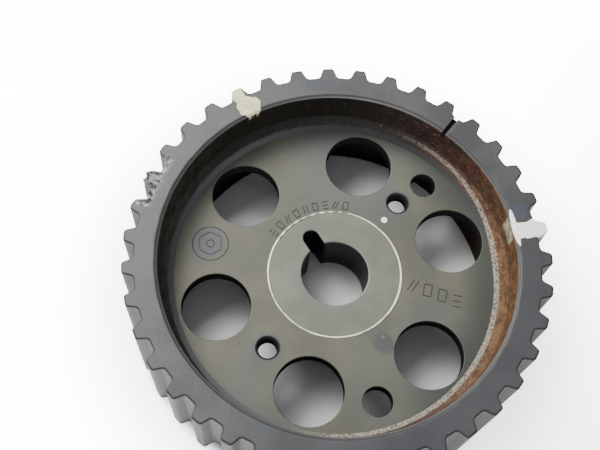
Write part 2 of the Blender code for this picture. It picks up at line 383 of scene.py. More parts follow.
def sign_cutters(name, sign, angle, distance, turn, size=1.0):
    """The strokes of one plain sign, turned and placed on the web."""
    centre, spin = at(angle, distance), turning(turn)
    plugs = []
    for number, (across, up, length, lean) in enumerate(SIGNS[sign]):
        place = centre + np.array([across, up]) * MM * size @ spin
        plugs.append(stroke_cutter(f"{name}_{number}", place, turn + radians(lean), length * MM * size))
    return plugs


def stamp_cutters():
    """A row of plain signs round the hub's joint, a shorter row on the right, and a ringed hexagon."""
    plugs = []
    for number, sign in enumerate(("bars", "box", "slants", "box", "posts", "box", "bars", "slants", "box")):
        angle = radians(SIGN_START - SIGN_STEP * number)
        plugs += sign_cutters(f"arc_sign_{number}", sign, angle, SIGN_CIRCLE, angle - np.pi / 2)
    for number, sign in enumerate(("slants", "box", "box", "bars")):
        angle = radians(351.0 - 1.3 * number)
        out = (22.4 + 4.3 * number) * MM
        plugs += sign_cutters(f"right_sign_{number}", sign, angle, out, radians(168), 1.5)
    centre = at(MARK_ANGLE, MARK_CIRCLE)
    plugs.append(ring_cutter("mark_ring", centre, 5.1 * MM))
    plugs.append(ring_cutter("mark_eye", centre, 1.1 * MM))
    for number in range(6):
        side = MARK_ANGLE + radians(60 * number + 15)
        middle = centre + at(side, 3.1 * MM)
        plugs.append(stroke_cutter(f"mark_side_{number}", middle, side + np.pi / 2, 2.9 * MM))
    return plugs


def take_out(piece, cutters):
    """Cut every plug out of the piece, keep the result as its mesh, and remove the plugs."""
    collection = bpy.data.collections.new("cutters")
    bpy.context.scene.collection.children.link(collection)
    for plug in cutters:
        bpy.context.scene.collection.objects.unlink(plug)
        collection.objects.link(plug)
    step = piece.modifiers.new("holes", "BOOLEAN")
    step.operand_type = "COLLECTION"
    step.collection = collection
    step.solver = "EXACT"
    bpy.context.view_layer.update()
    evaluated = piece.evaluated_get(bpy.context.evaluated_depsgraph_get())
    mesh = bpy.data.meshes.new_from_object(evaluated)
    piece.modifiers.clear()
    piece.data = mesh
    for plug in cutters:
        bpy.data.objects.remove(plug, do_unlink=True)
    bpy.data.collections.remove(collection)
    mesh.shade_smooth()
    mesh.set_sharp_from_angle(angle=radians(32))
    for face in mesh.polygons:
        face.use_smooth = abs(face.normal.z) < 0.9995


def through_plug(name, centre, radius, mouth):
    """A plug for a through hole whose edges flare by the mouth's width in a quarter round."""
    over = 1.0 * MM
    turn = np.linspace(0, 1, 4) * np.pi / 2
    top = [(radius + mouth * (1 - sin(t)), WEB_FRONT - mouth * (1 - cos(t))) for t in turn]
    bottom = [(radius + mouth * (1 - sin(t)), WEB_BACK + mouth * (1 - cos(t))) for t in turn[::-1]]
    section = [(radius + mouth, WEB_FRONT + over)] + top + bottom + [(radius + mouth, WEB_BACK - over)]
    return cutter(name, centre, section)


def puller_plug(name, centre):
    """A plug with a conical mouth and a fine thread: its radius is r + d cos(2 pi depth / pitch)."""
    radius, chamfer, over = 2.75 * MM, 0.75 * MM, 1.0 * MM
    depth = np.linspace(chamfer, WEB_FRONT - WEB_BACK, 25)
    thread = [(radius + 0.14 * MM * cos(2 * np.pi * at / (1.0 * MM)), WEB_FRONT - at) for at in depth]
    mouth = [(radius + chamfer + over, WEB_FRONT + over), (radius + chamfer, WEB_FRONT)]
    return cutter(name, centre, mouth + thread + [(thread[-1][0], WEB_BACK - over)], 48)


def web_disc():
    """A flat ring from the hub's joint to the rim's wall, less its windows, holes and plain strokes."""
    inner, outer = RING_OUTER - JOIN, WALL_RADIUS + JOIN
    across = np.linspace(inner, outer, 6)
    section = [(radius, WEB_FRONT) for radius in across[::-1]] + [(radius, WEB_BACK) for radius in across]
    piece = turned_ring("windowed_web", section[::-1], 192)
    plugs = [through_plug(f"window_{n}", at(a, WINDOW_CIRCLE), WINDOW_RADIUS, 0.18 * MM)
             for n, a in enumerate(WINDOW_ANGLES)]
    for name, (angle, distance, radius) in (("upper_round", UPPER_HOLE), ("lower_round", LOWER_HOLE)):
        plugs.append(through_plug(name, at(angle, distance), radius, 0.15 * MM))
    plugs += [puller_plug(f"puller_{n}", at(radians(angle), PULLER_CIRCLE))
              for n, angle in enumerate(PULLER_ANGLES)]
    plugs += stamp_cutters()
    take_out(piece, plugs)
    return piece


def hub():
    """Rows run round the hub's section, and columns follow the bore: a circle, then the keyway's outline.

    Over the two faces a row is (1 - s) outer circle + s bore outline, both at the same angle about the axis.
    """
    half, reach = KEYWAY_HALF_WIDTH, BORE_RADIUS + KEYWAY_DEPTH - KEYWAY_HALF_WIDTH
    mouth = np.arcsin(half / BORE_RADIUS)
    circle = np.linspace(mouth, 2 * np.pi - mouth, 110)
    swing = np.linspace(-np.pi / 2, np.pi / 2, 17)
    side = np.linspace(BORE_RADIUS * np.cos(mouth), reach, 7)[1:-1]
    key_end = np.stack([reach + half * np.cos(swing), half * np.sin(swing)], axis=-1)
    lower = np.stack([side, np.full(len(side), -half)], axis=-1)
    upper = lower[::-1] * np.array([1, -1])
    round_part = BORE_RADIUS * np.stack([np.cos(circle), np.sin(circle)], axis=-1)
    bore = np.concatenate([round_part, lower, key_end, upper]) @ turning(KEYWAY_ANGLE)
    along = np.roll(bore, -1, axis=0) - np.roll(bore, 1, axis=0)
    along /= np.linalg.norm(along, axis=1, keepdims=True)
    into_metal = np.stack([along[:, 1], -along[:, 0]], axis=-1)
    angle = np.arctan2(bore[:, 1], bore[:, 0])
    rim = np.stack([np.cos(angle), np.sin(angle)], axis=-1)
    outer = HUB_RADIUS + 0.3 * MM + JOIN
    edge = 0.25 * MM
    rows, heights, lip = [], [], []

    def row(flat, height, is_lip=0.0):
        rows.append(flat)
        heights.append(height)
        lip.append(is_lip)

    mouth_row = bore + into_metal * edge
    row(rim * HUB_RADIUS, 0.4 * MM)
    row(rim * HUB_RADIUS, WEB_BACK * 0.5)
    row(rim * HUB_RADIUS, WEB_BACK)
    row(rim * outer, WEB_BACK)
    row(rim * outer, WEB_FRONT)
    for share in (0.02, 0.2, 0.4, 0.6, 0.8, 0.97):
        row(rim * outer * (1 - share) + mouth_row * share, WEB_FRONT)
    for f in np.linspace(0, 1, 4) * np.pi / 2:
        row(bore + into_metal * edge * (1 - sin(f)), WEB_FRONT - edge * (1 - cos(f)), 1.0)
    for share in (0.05, 0.3, 0.6, 0.95):
        row(bore, WEB_FRONT * (1 - share))
    row(bore + into_metal * edge, 0.0)
    row(rim * (HUB_RADIUS - 0.4 * MM), 0.0)
    points = np.concatenate([np.stack(rows), spread(heights, len(bore))[..., None]], axis=-1)
    piece = grid_object("keyed_hub", points)
    set_mask(piece, "lip", spread(lip, len(bore)))
    return piece


def hub_ring():
    """A low half-round crown, (r0 + w cos t, h sin t), whose crest swells and thins a little."""
    inner, outer = HUB_RADIUS + 0.28 * MM, RING_OUTER + JOIN
    middle, half = (inner + outer) / 2, (outer - inner) / 2
    t = np.linspace(0, np.pi, 9)
    rise = RING_TOP - WEB_FRONT
    crown = np.stack([middle + half * np.cos(t), WEB_FRONT + rise * np.sin(t)], axis=-1)
    section = np.concatenate([crown, [(inner, WEB_BACK + JOIN), (outer, WEB_BACK + JOIN)]])

    def wobble(points):
        proud = smooth_step(WEB_FRONT, RING_TOP, points[..., 2])
        points[..., 2] -= proud * 0.05 * MM * (1 + ripple(points, 6 * MM, 8).clip(-1, 1))
        return points

    return turned_ring("bright_joint_ring", section[::-1], 360, wobble, 60)


def rim_bead():
    """A hollow round between web and wall: r = wall - R (1 - sin t), z = web + R (1 - cos t).

    Fourth powers of the share along it carry its two ends on to the web and the wall. Short ripples give it
    grains and pits on the right.
    """
    t = np.linspace(*np.radians(BEAD_ENDS), 16)
    share = np.linspace(0, 1, 16)
    out = WALL_RADIUS - BEAD_ROUND * (1 - np.sin(t)) + BEAD_ROUND * (1 - np.sin(t[-1])) * share ** 4
    up = WEB_FRONT + BEAD_ROUND * (1 - np.cos(t)) - BEAD_ROUND * (1 - np.cos(t[0])) * (1 - share) ** 4
    behind, below = WALL_RADIUS + JOIN, WEB_FRONT - JOIN
    back = [(behind, up[-1]), (behind, below), (out[0], below)]
    section = np.concatenate([np.stack([out, up], axis=-1), back])

    def wobble(points):
        reach = np.hypot(points[..., 0], points[..., 1])
        above = points[..., 2] - WEB_FRONT
        free = smooth_step(0.0, 0.2 * MM, above) * (reach < WALL_RADIUS - 0.02 * MM)
        from_right = angle_from(np.arctan2(points[..., 1], points[..., 0]), radians(-10.0))
        rough = 0.01 + 0.05 * smooth_step(75.0, 35.0, from_right) * smooth_step(3.0 * MM, 1.0 * MM, above)
        lump = free * (rough * ripple(points, 0.7 * MM, 31) + 0.04 * ripple(points, 4.0 * MM, 32)) * MM
        points[..., :2] *= (1 - np.clip(lump, -0.2 * MM, 0.3 * MM) / reach)[..., None]
        return points

    return turned_ring("pale_foot_bead", section, 1500, wobble, 60)


# ---------------------------------------------------------------- node helpers
def tint(red, green, blue):
    """A display colour of 0 to 255 as linear light: ((c/255 + 0.055) / 1.055) ^ 2.4."""
    channels = ((value / 255 + 0.055) / 1.055 for value in (red, green, blue))
    return (*(channel ** 2.4 for channel in channels), 1.0)


def feed(tree, socket, value):
    """Link a socket, or set a plain value."""
    if isinstance(value, bpy.types.NodeSocket):
        tree.links.new(value, socket)
    else:
        socket.default_value = value


def node(tree, kind, settings=None, **sockets):
    made = tree.nodes.new(kind)
    for key, value in (settings or {}).items():
        setattr(made, key, value)
    for key, value in sockets.items():
        feed(tree, made.inputs[key.replace("_", " ")], value)
    return made


def maths(tree, operation, first, second=0.0, third=0.0):
    made = tree.nodes.new("ShaderNodeMath")
    made.operation = operation
    for socket, value in zip(made.inputs, (first, second, third)):
        feed(tree, socket, value)
    return made.outputs[0]


def ramp(tree, value, low, high, to_low=0.0, to_high=1.0):
    made = node(tree, "ShaderNodeMapRange", {"interpolation_type": "SMOOTHSTEP"})
    for name, given in (("Value", value), ("From Min", low), ("From Max", high), ("To Min", to_low),
                        ("To Max", to_high)):
        feed(tree, made.inputs[name], given)
    return made.outputs["Result"]


def noise(tree, vector, scale, detail=4.0, roughness=0.6):
    return node(tree, "ShaderNodeTexNoise", Vector=vector, Scale=scale, Detail=detail,
                Roughness=roughness).outputs["Fac"]


def blend_colour(tree, share, first, second):
    made = node(tree, "ShaderNodeMix", {"data_type": "RGBA"})
    feed(tree, made.inputs[0], share)
    feed(tree, made.inputs[6], first)
    feed(tree, made.inputs[7], second)
    return made.outputs[2]


def lay(tree, colour, over, share, amount=1.0):
    """Lay a second colour over the first where the share allows, by the amount."""
    if amount != 1.0:
        share = times(tree, share, amount)
    return blend_colour(tree, share, colour, over)


def colour_stops(tree, value, stops):
    """A colour ramp from (place, colour) pairs."""
    made = tree.nodes.new("ShaderNodeValToRGB")
    elements = made.color_ramp.elements
    while len(elements) < len(stops):
        elements.new(1.0)
    for element, (place, colour) in zip(elements, stops):
        element.position, element.color = place, colour
    feed(tree, made.inputs["Fac"], value)
    return made.outputs["Color"]


def times(tree, *factors):
    """The product of masks, sockets or plain numbers."""
    total = factors[0]
    for factor in factors[1:]:
        total = maths(tree, "MULTIPLY", total, factor)
    return total


def new_group(name, inputs, outputs):
    """A shader node group with named inputs (name, kind, default) and named outputs (name, kind)."""
    tree = bpy.data.node_groups.new(name, "ShaderNodeTree")
    for label, kind, default in inputs:
        made = tree.interface.new_socket(label, in_out="INPUT", socket_type=kind)
        if default is not None:
            made.default_value = default
    for label, kind in outputs:
        tree.interface.new_socket(label, in_out="OUTPUT", socket_type=kind)
    entry = tree.nodes.new("NodeGroupInput").outputs
    leave = tree.nodes.new("NodeGroupOutput").inputs
    return tree, entry, leave


def use_group(tree, group, **sockets):
    made = tree.nodes.new("ShaderNodeGroup")
    made.node_tree = group
    for key, value in sockets.items():
        feed(tree, made.inputs[key.replace("_", " ")], value)
    return made.outputs


NUMBER, VECTOR = "NodeSocketFloat", "NodeSocketVector"


def polar_group():
    """Angle in degrees, distance from the axis and height, both in millimetres."""
    tree, entry, leave = new_group("polar_place", [("Vector", VECTOR, None)],
                                   [("Angle", NUMBER), ("Radius", NUMBER), ("Height", NUMBER)])
    split = node(tree, "ShaderNodeSeparateXYZ", Vector=entry["Vector"]).outputs
    turn = maths(tree, "ARCTAN2", split["Y"], split["X"])
    tree.links.new(maths(tree, "DEGREES", turn), leave["Angle"])
    square = maths(tree, "ADD", times(tree, split["X"], split["X"]),
                   times(tree, split["Y"], split["Y"]))
    tree.links.new(times(tree, maths(tree, "SQRT", square), 1000.0), leave["Radius"])
    tree.links.new(times(tree, split["Z"], 1000.0), leave["Height"])
    return tree


def sector_group():
    """1 within the half width of the centre angle, the short way round, 0 past the soft edge."""
    tree, entry, leave = new_group(
        "sector",
        [("Angle", NUMBER, 0), ("Centre", NUMBER, 0), ("Half Width", NUMBER, 10), ("Soft", NUMBER, 5)],
        [("Mask", NUMBER)])
    apart = maths(tree, "SUBTRACT", entry["Angle"], entry["Centre"])
    apart = maths(tree, "ABSOLUTE", maths(tree, "WRAP", apart, 180.0, -180.0))
    past = maths(tree, "ADD", entry["Half Width"], entry["Soft"])
    tree.links.new(ramp(tree, apart, entry["Half Width"], past, 1.0, 0.0), leave["Mask"])
    return tree


def patch_group():
    """An oval patch with a ragged edge: 1 where |local place| plus noise is under 1."""
    tree, entry, leave = new_group(
        "ragged_patch",
        [("Vector", VECTOR, None), ("Centre", VECTOR, None), ("Turn", NUMBER, 0), ("Half Length", NUMBER, 5),
         ("Half Width", NUMBER, 2), ("Ragged", NUMBER, 0.3), ("Grain", NUMBER, 400), ("Soft", NUMBER, 0.1)],
        [("Mask", NUMBER)])
    moved = node(tree, "ShaderNodeVectorMath", {"operation": "SUBTRACT"})
    feed(tree, moved.inputs[0], entry["Vector"])
    feed(tree, moved.inputs[1], entry["Centre"])
    back = maths(tree, "RADIANS", times(tree, entry["Turn"], -1.0))
    spun = node(tree, "ShaderNodeVectorRotate", {"rotation_type": "Z_AXIS"}, Vector=moved.outputs[0],
                Angle=back)
    split = node(tree, "ShaderNodeSeparateXYZ", Vector=spun.outputs[0]).outputs
    long = maths(tree, "DIVIDE", times(tree, split["X"], 1000.0), entry["Half Length"])
    wide = maths(tree, "DIVIDE", times(tree, split["Y"], 1000.0), entry["Half Width"])
    reach = maths(tree, "SQRT", maths(tree, "ADD", times(tree, long, long),
                                      times(tree, wide, wide)))
    rough = maths(tree, "SUBTRACT", noise(tree, entry["Vector"], entry["Grain"], 3.0), 0.5)
    reach = maths(tree, "MULTIPLY_ADD", rough, entry["Ragged"], reach)
    start = maths(tree, "SUBTRACT", 1.0, entry["Soft"])
    tree.links.new(ramp(tree, reach, start, 1.0, 1.0, 0.0), leave["Mask"])
    return tree


def grain_group():
    """Fine pressed-metal grain: a height for the bump, a slow mottle and sparse speckles."""
    tree, entry, leave = new_group(
        "metal_grain", [("Vector", VECTOR, None), ("Fine Scale", NUMBER, 2200), ("Mottle Scale", NUMBER, 60)],
        [("Height", NUMBER), ("Mottle", NUMBER), ("Speckle", NUMBER)])
    fine = noise(tree, entry["Vector"], entry["Fine Scale"], 3.0, 0.7)
    middle = noise(tree, entry["Vector"], times(tree, entry["Fine Scale"], 0.3), 2.0, 0.5)
    height = maths(tree, "ADD", times(tree, fine, 0.6), times(tree, middle, 0.4))
    tree.links.new(height, leave["Height"])
    tree.links.new(noise(tree, entry["Vector"], entry["Mottle Scale"], 5.0, 0.62), leave["Mottle"])
    spots = noise(tree, entry["Vector"], times(tree, entry["Fine Scale"], 0.45), 2.0, 0.5)
    tree.links.new(ramp(tree, spots, 0.66, 0.74), leave["Speckle"])
    return tree


POLAR, SECTOR, PATCH, GRAIN = polar_group(), sector_group(), patch_group(), grain_group()


class Finish:
    """One material under way: its tree, its shader, and where each point lies."""

    def __init__(self, name):
        self.material = bpy.data.materials.new(name)
        self.material.use_nodes = True
        self.tree = self.material.node_tree
        self.shader = self.tree.nodes["Principled BSDF"]
        self.place = self.tree.nodes.new("ShaderNodeTexCoord").outputs["Object"]
        polar = use_group(self.tree, POLAR, Vector=self.place)
        self.angle, self.radius, self.height = polar["Angle"], polar["Radius"], polar["Height"]

    def sector(self, centre, half_width, soft):
        return use_group(self.tree, SECTOR, Angle=self.angle, Centre=centre, Half_Width=half_width,
                         Soft=soft)["Mask"]

    def patch(self, angle, distance, half_length, half_width, turn=None, **more):
        centre = (distance * MM * cos(radians(angle)), distance * MM * sin(radians(angle)), 0.0)
        flat = node(self.tree, "ShaderNodeVectorMath", {"operation": "MULTIPLY"})
        feed(self.tree, flat.inputs[0], self.place)
        flat.inputs[1].default_value = (1, 1, 0)
        return use_group(self.tree, PATCH, Vector=flat.outputs[0], Centre=centre,
                         Turn=angle if turn is None else turn, Half_Length=half_length,
                         Half_Width=half_width, **more)["Mask"]

    def mask(self, name):
        return node(self.tree, "ShaderNodeAttribute", {"attribute_name": name}).outputs["Fac"]

    def finish(self, colour, roughness, metallic, height, strength, distance, specular=0.4):
        feed(self.tree, self.shader.inputs["Base Color"], colour)
        feed(self.tree, self.shader.inputs["Roughness"], roughness)
        feed(self.tree, self.shader.inputs["Metallic"], metallic)
        feed(self.tree, self.shader.inputs["Specular IOR Level"], specular)
        bump = node(self.tree, "ShaderNodeBump", Strength=strength, Distance=distance, Height=height)
        self.tree.links.new(bump.outputs["Normal"], self.shader.inputs["Normal"])
        return self.material


def wall_colour(m):
    """Nearly black on the far and left side of the recess, then brown, then orange rust, with pale specks."""
    t = m.tree
    apart = maths(t, "ABSOLUTE", maths(t, "WRAP", maths(t, "ADD", m.angle, 8.0), 180.0, -180.0))
    wander = times(t, maths(t, "SUBTRACT", noise(t, m.place, 130.0), 0.5), 26.0)
    apart = maths(t, "ADD", apart, wander)
    stops = [(0, (112, 83, 58)), (22, (108, 80, 57)), (42, (95, 70, 57)), (58, (74, 57, 50)),
             (72, (58, 49, 44)), (88, (40, 38, 34)), (104, (32, 31, 28)), (140, (42, 41, 37)),
             (180, (72, 70, 64))]
    colour = colour_stops(t, maths(t, "DIVIDE", apart, 180.0), [(at / 180, tint(*c)) for at, c in stops])
    blotch = ramp(t, noise(t, m.place, 380.0, 6.0, 0.7), 0.36, 0.62)
    colour = lay(t, colour, tint(33, 27, 23), maths(t, "MULTIPLY_ADD", blotch, -0.6, 0.6))
    red = times(t, ramp(t, noise(t, m.place, 170.0, 3.0), 0.52, 0.66), m.sector(38.0, 14.0, 12.0))
    colour = lay(t, colour, tint(80, 40, 43), red, 0.5)
    specks = ramp(t, noise(t, m.place, 1300.0, 2.0, 0.5), 0.655, 0.70)
    specks = times(t, specks, maths(t, "MULTIPLY_ADD", m.sector(0.0, 55.0, 30.0), 0.5, 0.12))
    return blend_colour(t, specks, colour, tint(154, 139, 121))


def rim_material():
    """Grey oxide on the face, with painted shade darkening its right side, belt-worn teeth with painted light
    on the lower side, a rusty inner wall with painted shade below the web, paint marks, a notch in painted
    shade beside a step in painted light, and crushed bright teeth.
    """
    m = Finish("rim_oxide")
    t = m.tree
    front = RIM_FRONT / MM
    wall = WALL_RADIUS / MM
    grain = use_group(t, GRAIN, Vector=m.place, Fine_Scale=2400.0, Mottle_Scale=70.0)
    below_lip = ramp(t, m.height, front - 0.3, front - 0.7)
    inside = times(t, ramp(t, m.radius, wall + 0.22, wall + 0.08), below_lip)
    colour = blend_colour(t, ramp(t, grain["Mottle"], 0.35, 0.65), tint(68, 69, 70), tint(80, 80, 80))
    # painted shade: the right side of the face is darkened
    right = m.sector(-42.0, 20.0, 70.0)
    colour = lay(t, colour, tint(60, 61, 65), right, 0.6)
    blue = times(t, ramp(t, noise(t, m.place, 60.0, 3.0), 0.5, 0.62), m.sector(180.0, 60.0, 60.0))
    colour = lay(t, colour, tint(68, 74, 83), blue, 0.35)
    on_teeth = ramp(t, m.height, front - 0.25, front - 0.6)
    # painted light: the teeth on the lower side are lighter
    lower = m.sector(275.0, 55.0, 30.0)
    colour = blend_colour(t, on_teeth, colour, blend_colour(t, lower, tint(98, 96, 94), tint(124, 123, 121)))
    crests = times(t, on_teeth, ramp(t, m.radius, CREST_RADIUS / MM - 1.3, CREST_RADIUS / MM - 0.5))
    colour = lay(t, colour, tint(119, 118, 114), crests, 0.8)
    # partly painted shade: dark on the rounded tooth ends, and on the back ends where they meet the table
    colour = lay(t, colour, tint(34, 34, 34), m.mask("edge"), 0.85)
    colour = lay(t, colour, tint(50, 50, 47), grain["Speckle"], 0.25)

    on_front = ramp(t, m.height, front - 1.1, front - 0.9)
    groove = times(t, on_front, ramp(t, m.radius, wall + 0.55, wall + 0.72),
                  ramp(t, m.radius, wall + 1.1, wall + 0.92))
    colour = lay(t, colour, tint(38, 38, 38), groove, 0.65)
    lip = times(t, on_front, ramp(t, m.radius, wall + 0.42, wall + 0.2))
    broken = ramp(t, noise(t, m.place, 300.0, 3.0), 0.36, 0.52)
    colour = lay(t, colour, tint(107, 109, 106), times(t, lip, maths(t, "MULTIPLY_ADD", broken, 0.4, 0.2)))
    colour = blend_colour(t, inside, colour, wall_colour(m))
    # painted shade: the wall below the web, under the disc, is painted nearly black
    behind = ramp(t, m.height, WEB_BACK / MM + 0.4, WEB_BACK / MM - 0.2)
    colour = lay(t, colour, tint(22, 19, 17), times(t, inside, times(t, behind, 0.85)))

    crushed = m.mask("crushed")
    bright = blend_colour(t, ramp(t, noise(t, m.place, 800.0, 4.0, 0.8), 0.40, 0.55), tint(41, 39, 38),
                          tint(125, 124, 122))
    colour = blend_colour(t, ramp(t, crushed, 0.08, 0.4), colour, bright)
    # painted light: the shallow step beside the notch is lightened
    colour = lay(t, colour, tint(92, 90, 86), m.mask("step"), 0.5)
    # painted shade: the notch is painted nearly black
    colour = lay(t, colour, tint(12, 11, 11), m.mask("notch"))

    near_front = ramp(t, m.height, front - 3.0, front - 1.2)
    on_tooth = m.patch(120.4, 56.2, 3.8, 1.9, Ragged=0.4, Grain=500.0, Soft=0.06)
    on_face = m.patch(119.3, 52.0, 3.3, 3.5, Ragged=0.7, Grain=420.0, Soft=0.06)
    cream = times(t, near_front, maths(t, "MAXIMUM", on_tooth, on_face))
    colour = blend_colour(t, cream, colour, blend_colour(
        t, ramp(t, noise(t, m.place, 420.0), 0.42, 0.6), tint(206, 200, 152), tint(234, 228, 192)))
    wander = maths(t, "MULTIPLY_ADD", noise(t, m.place, 330.0, 3.0), 2.4, -1.2)
    aside = maths(t, "ABSOLUTE", maths(t, "SUBTRACT", maths(t, "ADD", m.angle, wander), 9.3))
    strip = times(t, ramp(t, aside, 2.75, 2.55), ramp(t, m.radius, 49.3, 49.6))
    on_lip = m.patch(10.6, 49.6, 0.75, 5.6, Ragged=0.4, Grain=380.0, Soft=0.06)
    band = times(t, near_front, maths(t, "MAXIMUM", strip, on_lip))
    drip = times(t, inside, ramp(t, m.height, front - 7.5, front - 5.5),
                ramp(t, m.height, front - 0.6, front - 1.6),
                m.patch(11.3, 48.8, 4.0, 3.2, Ragged=0.5, Grain=380.0, Soft=0.1))
    colour = blend_colour(t, drip, colour, blend_colour(
        t, ramp(t, noise(t, m.place, 500.0), 0.4, 0.6), tint(124, 113, 93), tint(173, 168, 149)))
    colour = lay(t, colour, tint(246, 244, 238), band)
    painted = maths(t, "MAXIMUM", maths(t, "MAXIMUM", cream, band), drip)
    violet = times(t, near_front, m.patch(15.9, 52.0, 2.6, 3.0, Ragged=0.25, Grain=300.0, Soft=0.2))
    violet = times(t, violet, maths(t, "SUBTRACT", 1.0, painted))
    colour = lay(t, colour, tint(70, 74, 90), violet, 0.5)

    metal = maths(t, "MULTIPLY_ADD", maths(t, "MAXIMUM", painted, inside), -0.3, 0.3)
    rough = maths(t, "MULTIPLY_ADD", grain["Mottle"], 0.2, maths(t, "MULTIPLY_ADD", inside, 0.25, 0.34))
    scale = times(t, inside, noise(t, m.place, 700.0), 2.0)
    bump_height = maths(t, "ADD", grain["Height"], scale)
    specular = maths(t, "MULTIPLY_ADD", inside, -0.3, 0.35)
    return m.finish(colour, rough, metal, bump_height, 0.3, 0.0001, specular)


def web_material():
    """Olive grey with a bluish bloom near the windows and the small holes; painted shade as a darker bluish
    band along the left of the wall, a darker outer right part, and nearly black hole walls and underside.
    """
    m = Finish("web_oxide")
    t = m.tree
    grain = use_group(t, GRAIN, Vector=m.place, Fine_Scale=2600.0, Mottle_Scale=48.0)
    colour = blend_colour(t, ramp(t, grain["Mottle"], 0.36, 0.66), tint(83, 83, 73), tint(97, 96, 83))
    bloom = ramp(t, noise(t, m.place, 34.0, 3.0, 0.5), 0.45, 0.68)
    colour = lay(t, colour, tint(79, 83, 87), bloom, 0.5)
    ragged = maths(t, "MULTIPLY_ADD", noise(t, m.place, 90.0), 5.0, m.radius)
    near_wall = ramp(t, ragged, 46.0, 50.0)
    near_wall = times(t, near_wall, m.sector(205.0, 75.0, 45.0))
    # painted shade: a darker bluish band on the web along the left part of the wall
    colour = lay(t, colour, tint(67, 69, 81), near_wall, 0.55)
    # painted shade: the outer right part of the web is darkened
    shade = times(t, ramp(t, m.radius, 33.0, 44.0), m.sector(-5.0, 35.0, 35.0))
    colour = lay(t, colour, tint(58, 61, 57), shade, 0.85)
    for angle in PULLER_ANGLES:
        halo = m.patch(angle, PULLER_CIRCLE / MM, 5.2, 5.0, Ragged=0.5, Grain=200.0, Soft=0.45)
        colour = lay(t, colour, tint(73, 78, 87), halo, 0.6)
    colour = lay(t, colour, tint(62, 62, 56), grain["Speckle"], 0.25)
    # painted shade: the hole walls and the underside are painted nearly black
    under = ramp(t, m.height, WEB_FRONT / MM - 0.12, WEB_FRONT / MM - 0.5)
    colour = lay(t, colour, tint(20, 19, 18), under)
    stamped = ramp(t, m.height, WEB_FRONT / MM - 0.02, WEB_FRONT / MM - 0.10)
    colour = lay(t, colour, tint(39, 39, 39), stamped, 0.6)
    dot = m.patch(48.8, 22.1, 0.95, 0.95, Ragged=0.25, Grain=500.0, Soft=0.1)
    colour = lay(t, colour, tint(244, 244, 240), dot)
    stain = m.patch(303.0, 24.2, 4.4, 3.4, Ragged=0.7, Grain=220.0, Soft=0.5)
    colour = lay(t, colour, tint(55, 61, 65), stain, 0.55)
    cross = maths(t, "MAXIMUM", m.patch(305.1, 22.7, 1.0, 0.13, 10.0, Ragged=0.3, Grain=900.0, Soft=0.4),
                  m.patch(305.1, 22.7, 0.13, 1.0, 10.0, Ragged=0.3, Grain=900.0, Soft=0.4))
    colour = lay(t, colour, tint(118, 122, 125), cross, 0.7)
    tinted = m.patch(degrees(MARK_ANGLE), MARK_CIRCLE / MM + 0.8, 5.6, 6.2, Ragged=0.4, Grain=200.0, Soft=0.4)
    colour = lay(t, colour, tint(72, 75, 91), tinted, 0.45)
    lilac = m.patch(142.7, 46.6, 1.3, 1.1, Ragged=0.4, Grain=500.0, Soft=0.3)
    colour = lay(t, colour, tint(79, 71, 104), lilac, 0.8)
    metal = maths(t, "MULTIPLY_ADD", maths(t, "MAXIMUM", dot, under), -0.2, 0.2)
    rough = maths(t, "MULTIPLY_ADD", grain["Mottle"], 0.2, 0.40)
    specular = maths(t, "MULTIPLY_ADD", under, -0.35, 0.35)
    return m.finish(colour, rough, metal, grain["Height"], 0.3, 0.0001, specular)


def hub_material():
    """Fine olive grey over very faint turning marks, with painted shade inside the bore and the keyway, which
    are nearly black.
    """
    m = Finish("hub_face")
    t = m.tree
    grain = use_group(t, GRAIN, Vector=m.place, Fine_Scale=2600.0, Mottle_Scale=60.0)
    rings = node(t, "ShaderNodeTexNoise", {"noise_dimensions": "1D"}, W=times(t, m.radius, 2.5),
                 Scale=1.0, Detail=3.0).outputs["Fac"]
    colour = blend_colour(t, ramp(t, grain["Mottle"], 0.38, 0.64), tint(102, 103, 94), tint(112, 114, 103))
    colour = lay(t, colour, tint(83, 83, 77), ramp(t, rings, 0.45, 0.7), 0.08)
    colour = lay(t, colour, tint(71, 71, 64), grain["Speckle"], 0.25)
    # painted shade: the bore is painted dark, the keyway nearly black
    inside = ramp(t, m.height, WEB_FRONT / MM - 0.3, WEB_FRONT / MM - 0.8)
    key = m.sector(degrees(KEYWAY_ANGLE), 16.0, 6.0)
    within = blend_colour(t, key, tint(40, 41, 40), tint(10, 10, 10))
    colour = blend_colour(t, inside, colour, within)
    colour = lay(t, colour, tint(122, 123, 115), m.mask("lip"), 0.5)
    rough = maths(t, "MULTIPLY_ADD", grain["Mottle"], 0.15, 0.34)
    metal = maths(t, "MULTIPLY_ADD", inside, -0.25, 0.25)
    bump_height = maths(t, "ADD", grain["Height"], times(t, rings, 0.2))
    specular = maths(t, "MULTIPLY_ADD", inside, -0.3, 0.35)
    return m.finish(colour, rough, metal, bump_height, 0.25, 0.0001, specular)


def ring_material():
    """Bright worn metal, duller beside the stamped signs, where it shows only as dashes."""
    m = Finish("bright_ring")
    t = m.tree
    worn = ramp(t, noise(t, m.place, 200.0, 4.0, 0.7), 0.34, 0.58)
    crest = times(t, ramp(t, m.radius, 18.58, 18.68), ramp(t, m.radius, 19.14, 19.04))
    turn = times(t, maths(t, "SUBTRACT", m.angle, SIGN_START + SIGN_STEP / 2), 360.0 / SIGN_STEP)
    dash = ramp(t, maths(t, "COSINE", maths(t, "RADIANS", turn)), -0.2, 0.4, 0.15, 1.0)
    beside = m.sector(114.0, 35.0, 3.0)
    broken = maths(t, "ADD", times(t, beside, dash), maths(t, "SUBTRACT", 1.0, beside))
    share = times(t, maths(t, "MULTIPLY_ADD", worn, 0.65, 0.35), crest, broken)
    colour = blend_colour(t, share, tint(112, 112, 102), tint(226, 225, 203))
    metal = maths(t, "MULTIPLY_ADD", share, -0.6, 0.85)
    return m.finish(colour, 0.35, metal, noise(t, m.place, 1800.0), 0.2, 0.00006)


